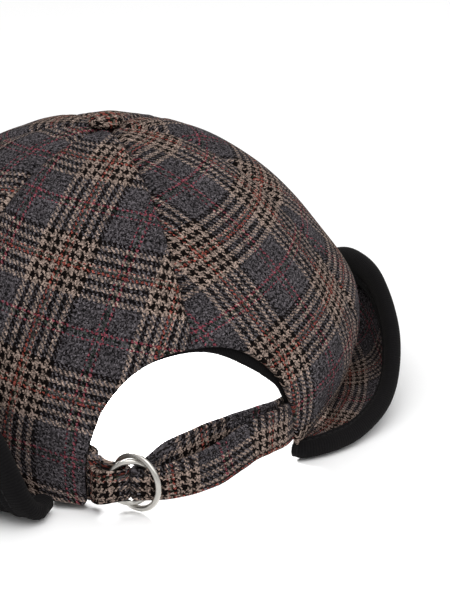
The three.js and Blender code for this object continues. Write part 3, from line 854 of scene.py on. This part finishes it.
for side in FLAPS:
    tape, data = binding(side)
    dress(tape, "black_cloth", f"ear_flap_binding_{side}")
    for face, depth in (("inside", 2.36), ("outside", -2.17)):
        inward = np.full((TAPE_COLUMNS + 1, 1), STITCHES_FROM_EDGE)
        level = np.full((TAPE_COLUMNS + 1, 1), depth)
        row = on_edge(side, data, inward, level)[:, 0]
        out = on_edge(side, data, inward, level + 0.5 * np.sign(depth))[:, 0] - row
        stitch_row(f"binding_stitches_{side}_{face}", row, out, 2.9, THREAD_BLACK)

# %% [markdown]
# ## Peak
# The peak is a stiff crescent covered in the same tweed. It is finished plainly: softly arched,
# with rounded edges and two rows of topstitching. Its root is tucked into the crown's wall.

# %% Peak
PEAK_REACH = 46.0
PEAK_THICKNESS = 3.0
PEAK_RISE = 12.0
PEAK_HALF_ANGLE = math.radians(52)
PEAK_TUCK_SHARE = 0.03


def peak_surface(u, v, depth):
    turn = math.pi - PEAK_HALF_ANGLE + 2 * PEAK_HALF_ANGLE * u
    arch = np.sin(np.pi * np.clip(u, 0, 1))
    heights = np.linspace(0.5, 1, 400)
    rises = profile_at(heights)[:, 0] * CROWN_HEIGHT
    share = np.interp(-(PEAK_THICKNESS + PEAK_RISE * arch), -rises, heights)
    root = crown_point(turn, share)
    root[..., 2] = 0
    tucked = np.clip(-v / PEAK_TUCK_SHARE, 0, 1)
    root = root + unit(root) * (0.3 - 1.8 * tucked)[..., None]
    reach = PEAK_REACH * arch ** 0.55 + PEAK_THICKNESS
    root[..., 1] -= reach * v
    root[..., 2] = PEAK_THICKNESS - depth + PEAK_RISE * arch * (1 - 0.35 * v * v)
    return root


def peak(columns=90, rows=30):
    u = np.linspace(0, 1, columns + 1)[:, None]
    v = np.linspace(-PEAK_TUCK_SHARE, 1, rows + 1)[None, :]
    u, v = np.broadcast_arrays(u, v)
    edge = np.clip((1 - v) * 14, 0, 1)
    round_off = 0.5 * (1 - np.sqrt(1 - (1 - edge) ** 2)) * PEAK_THICKNESS
    over = peak_surface(u, v, round_off)
    under = peak_surface(u, v, PEAK_THICKNESS - round_off)
    points = np.concatenate([over, under[:, ::-1]], 1)
    cloth = lay_plaid(over[..., 0], over[..., 1], (0, -130, 0))
    cloth = np.concatenate([cloth, cloth[:, ::-1]], 1)
    return make_piece("tweed_peak", points, cloth, [TWEED])


dress(peak(), "tweed", "peak")
line_u = np.linspace(0.04, 0.96, 160)
for number, inset in enumerate((0.95, 0.88)):
    row = peak_surface(line_u, np.full(160, inset), np.full(160, -0.05))
    ups = np.tile([0.0, 0.0, 1.0], (160, 1))
    stitch_row(f"peak_stitches_{number}", row, ups, 3.2, THREAD_BLACK)

# %% [markdown]
# ## Strap and tab
# The strap is a folded strip of tweed, 15 mm wide, sewn to the right side of the arch. It goes
# round the inner ring and back on itself. A short tab from the left side holds both rings. Each
# is one band on edge that runs along one layer, round the fold and back along the other layer.
# A row of its table is its place across and back, the two layers' heights, a width and the
# space between the layers.

# %% The band's path
CHAIN_BACK = 98.8
STRAP_WIDTH = 15.0
STRAP_THICKNESS = 2.0
LAYER_SPACING = 2.4
STRAP_ROUTE = [
    (-1.2, 0.688, 1.0, 1.06, 1, 0.56), (-1.09, 0.734, 1.0, 1.08, 1, 0.56),
    (-0.993, 0.784, 1.02, 1.1, 1, 0.56), (-0.85, 0.865, 1.06, 1.16, 1, 0.56),
    (-0.436, 0.972, 1.15, 1.31, 1, 0.75), (0.0, 1.022, 0.85, 1.27, 0.98, 1.0),
    (0.315, 1.038, 0.75, 1.15, 0.88, 0.95), (0.5, 1.025, 0.7, 0.82, 0.76, 1.0),
    (0.598, 1.01, 0.695, 0.695, 0.74, 1.0),
]
TAB_ROUTE = [
    (0.738, 0.992, 0.695, 0.695, 0.72, 1.0), (0.84, 0.974, 0.66, 0.74, 0.76, 1.0),
    (0.9, 0.93, 0.62, 0.8, 0.9, 0.62), (0.9, 0.872, 0.62, 0.8, 1.05, 0.55),
    (0.965, 0.802, 0.64, 0.78, 1.05, 0.55), (1.09, 0.748, 0.64, 0.78, 1.05, 0.55),
]


def band_stations(route, steps, fold_side):
    """Middle points, widths and side of each station along the folded band."""
    rows = np.array(route)
    place, heights = smooth_curve(rows[:, [0, 1, 5]]), smooth_curve(rows[:, 2:5])

    def layer(share, side):
        across, back, apart = place(share)
        ahead = place(min(share + 0.01, 1)) - place(max(share - 0.01, 0))
        way = unit(np.array([ahead[0] * ARCH_HALF_WIDTH, ahead[1] * CHAIN_BACK]))
        low_z, high_z, wide = heights(share)
        return np.array([
            across * ARCH_HALF_WIDTH - side * way[1] * LAYER_SPACING * apart * np.sign(way[0]),
            back * CHAIN_BACK + side * abs(way[0]) * LAYER_SPACING * apart,
            (low_z if side > 0 else high_z) * STRAP_WIDTH, wide * STRAP_WIDTH,
        ])
    end = 1 if fold_side > 0 else 0
    shares = np.linspace(1 - end, end, steps)
    stations = [layer(s, -1) for s in shares]
    last, after = layer(end, -1), layer(end, 1)
    for angle in np.linspace(0, math.pi, 12)[1:-1]:
        station = last + (after - last) * (1 - math.cos(angle)) / 2
        station[0] += fold_side * LAYER_SPACING * math.sin(angle)
        stations.append(station)
    stations += [layer(s, 1) for s in shares[::-1]]
    return np.array(stations)


# %% The band
BAND_SECTION = [
    (0.0, -0.5), (0.035, -0.86), (0.08, -1.0), (0.115, -0.82), (0.16, -1.0), (0.5, -1.06),
    (0.84, -1.0), (0.885, -0.82), (0.92, -1.0), (0.965, -0.86), (1.0, -0.5),
    (1.0, 0.5), (0.965, 0.86), (0.92, 1.0), (0.885, 0.82), (0.84, 1.0), (0.5, 1.06),
    (0.16, 1.0), (0.115, 0.82), (0.08, 1.0), (0.035, 0.86), (0.0, 0.5),
]


def folded_band(name, route, fold_side, place, steps=70):
    stations = band_stations(route, steps, fold_side)
    middle, width = stations[:, :3], stations[:, 3]
    ahead = np.gradient(middle, axis=0)
    flat_way = unit(ahead * [1, 1, 0])
    side_way = np.cross([0, 0, 1.0], flat_way)
    tall_way = unit(np.cross(ahead, side_way))
    tall_way = tall_way * np.sign(tall_way[:, 2:3])
    section = np.array(BAND_SECTION)
    run = np.concatenate([[0], np.cumsum(np.linalg.norm(np.diff(middle, axis=0), axis=1))])
    wave = 0.25 * np.sin(run * 0.55)[:, None] * np.sin(np.pi * section[None, :, 0] + 0.5)
    up = (section[None, :, 0] - 0.5) * width[:, None]
    out = section[None, :, 1] * STRAP_THICKNESS / 2 * 0.95 + wave
    points = middle[:, None] + tall_way[:, None] * up[..., None]
    points = points + side_way[:, None] * out[..., None]
    across = np.repeat(run[:, None], len(section), 1)
    cloth = lay_plaid(across, up, place)
    piece = make_piece(name, points, cloth, [TWEED])
    return piece, points, side_way


strap, strap_points, strap_sides = folded_band("tweed_strap", STRAP_ROUTE, 1, (62.0, -7.0, 0))
dress(strap, "tweed", "strap")
tab, tab_points, tab_sides = folded_band("tweed_strap_tab", TAB_ROUTE, -1, (10.0, 4.0, 0), 30)
dress(tab, "tweed", "strap_tab")

# %% Topstitching on the strap and the tab
THREAD_DARK = black_cloth("dark_brown_topstitch_thread", "#1d1916", 0.3, 0.1, 0.05, 0.08)
for label, points, sides in (("strap", strap_points, strap_sides), ("tab", tab_points, tab_sides)):
    for edge, column in (("low", 3), ("high", 7), ("low_back", 18), ("high_back", 14)):
        side = -1 if column < 11 else 1
        row = points[:, column] + sides * 0.12 * side
        stitch_row(f"{label}_stitches_{edge}", row, sides * side, 2.6, THREAD_DARK, 1.9, 0.45)

# %% [markdown]
# ## Rings
# The rings are round steel wire bent to a circle and welded. The inner one stands in the strap's
# fold and the tab's loop, and the outer one is slipped over the strap's end beside it.

# %% Rings
RING_WIRE = 2.0


def wire_ring(name, diameter, turn, centre, around=96, sides=20):
    radius = (diameter - RING_WIRE) / 2
    a = np.linspace(0, 2 * math.pi, around, endpoint=False)[:, None]
    b = np.linspace(0, 2 * math.pi, sides, endpoint=False)[None, :]
    weld = 1 + 0.05 * np.exp(-((a - 4.4) / 0.05) ** 2)
    reach = radius + RING_WIRE / 2 * weld * np.cos(b)
    x, y, z = reach * np.cos(a), RING_WIRE / 2 * weld * np.sin(b), reach * np.sin(a)
    cos, sin = math.cos(-turn), math.sin(-turn)
    points = np.stack([x * cos - y * sin, x * sin + y * cos, z], -1) + centre
    cloth = np.stack(np.broadcast_arrays(a * radius, b * RING_WIRE / 2), -1)
    return make_piece(name, points, cloth, [STEEL], closed=True)


line_turn = math.radians(20)
inner_centre = np.array([27.7, CHAIN_BACK, 10.45])
outer_centre = inner_centre + np.array([-1.9 * math.cos(line_turn), 1.9 * math.sin(line_turn), 0])
dress(wire_ring("steel_ring_inner", 16.8, line_turn, inner_centre), "steel", "ring_inner")
dress(wire_ring("steel_ring_outer", 20.7, math.radians(60), outer_centre), "steel", "ring_outer")

# %% [markdown]
# ## Table, light and camera
# The cap lies on a plain white table under large soft lights. The picture is shown with the
# Standard view transform, so the table stays white and the blacks stay deep. The camera stands
# behind the cap, 20 degrees to the wearer's left of straight back, looking down at 18.5 degrees,
# at the distance and lens that the lines of the rim and the seams agree on.

# %% Table
def white_table():
    made, tree = new_material("matt_white_table")
    place = add(tree, "ShaderNodeTexCoord")
    grain = add(tree, "ShaderNodeTexNoise", None,
                {"Vector": place.outputs["Object"], "Scale": 400.0, "Detail": 2.0})
    shader = add(tree, "ShaderNodeBsdfPrincipled", None, {
        "Base Color": linear("#fbfbfb"), "Specular IOR Level": 0.1,
        "Roughness": ranged(tree, grain.outputs[0], 0.0, 1.0, 0.7, 0.85),
    })
    finish_material(tree, shader)
    mesh = bpy.data.meshes.new("table_top")
    mesh.from_pydata([(-3, -3, 0), (3, -3, 0), (3, 3, 0), (-3, 3, 0)], [], [(0, 1, 2, 3)])
    mesh.materials.append(made)
    table = bpy.data.objects.new("table_top", mesh)
    bpy.context.scene.collection.objects.link(table)
    table.location.z = -0.0002


white_table()


# %% Lights
SKY_STRENGTH = 0.62


def soft_light(name, place, aim, size, power):
    data = bpy.data.lights.new(name, "AREA")
    data.shape = "SQUARE"
    data.size = size
    data.energy = power
    lamp = bpy.data.objects.new(name, data)
    lamp.location = place
    lamp.rotation_euler = (Vector(aim) - Vector(place)).to_track_quat("-Z", "Y").to_euler()
    lamp.visible_camera = False
    bpy.context.scene.collection.objects.link(lamp)


middle = Vector((0.0, 0.0, 0.05))
soft_light("key_softbox", (0.05, 0.95, 1.4), middle, 1.4, 12)
soft_light("fill_softbox", (-0.9, 1.0, 0.8), middle, 1.2, 2.5)
soft_light("top_softbox", (0.0, -0.1, 1.5), middle, 1.5, 8)
hollow = (CAP_ORIGIN + np.array([0.0, 5.0, 62.0])) * METRE
soft_light("crown_hollow_glow", tuple(hollow), (hollow[0], hollow[1], 0), 0.05, 0.35)
sky = bpy.data.worlds.new("white_room")
sky.use_nodes = True
sky.node_tree.nodes["Background"].inputs[0].default_value = linear("#ffffff")
sky.node_tree.nodes["Background"].inputs[1].default_value = SKY_STRENGTH
bpy.context.scene.world = sky
bpy.context.scene.view_settings.view_transform = "Standard"

# %% Camera
AZIMUTH = math.radians(20.09)
ELEVATION = math.radians(18.53)
ROLL = math.radians(1.69)
DISTANCE = 900.0
PIXELS_PER_MM = 2.74
IMAGE_WIDTH = 450
IMAGE_HEIGHT = 600
AIM_ACROSS = 99.35
AIM_DOWN = 243.82
toward = np.array([
    math.sin(AZIMUTH) * math.cos(ELEVATION), math.cos(AZIMUTH) * math.cos(ELEVATION),
    math.sin(ELEVATION),
])
aim_middle = np.array([0.0, 0.0, 60.0])
eye = aim_middle + toward * DISTANCE
right_way = np.array([-math.cos(AZIMUTH), math.sin(AZIMUTH), 0.0])
up_way = np.cross(toward, right_way)
FOCUS_PX = PIXELS_PER_MM * DISTANCE
pan = math.atan((IMAGE_WIDTH / 2 - AIM_ACROSS) / FOCUS_PX)
tilt = math.atan((IMAGE_HEIGHT / 2 - AIM_DOWN) / FOCUS_PX)
looking = Matrix((
    (right_way[0], up_way[0], toward[0]),
    (right_way[1], up_way[1], toward[1]),
    (right_way[2], up_way[2], toward[2]),
))
looking = looking @ Matrix.Rotation(-ROLL, 3, "Z")
looking = looking @ Matrix.Rotation(-pan, 3, "Y") @ Matrix.Rotation(-tilt, 3, "X")
lens = bpy.data.cameras.new("camera")
lens.sensor_width = 36.0
lens.lens = lens.sensor_width * FOCUS_PX / IMAGE_HEIGHT
lens.clip_end = 50
camera = bpy.data.objects.new("camera", lens)
camera.matrix_world = Matrix.Translation(Vector((eye + CAP_ORIGIN) * METRE)) @ looking.to_4x4()
bpy.context.scene.collection.objects.link(camera)
bpy.context.scene.camera = camera
print("lens, mm:", round(lens.lens, 1))

# %% The end
bpy.context.view_layer.update()
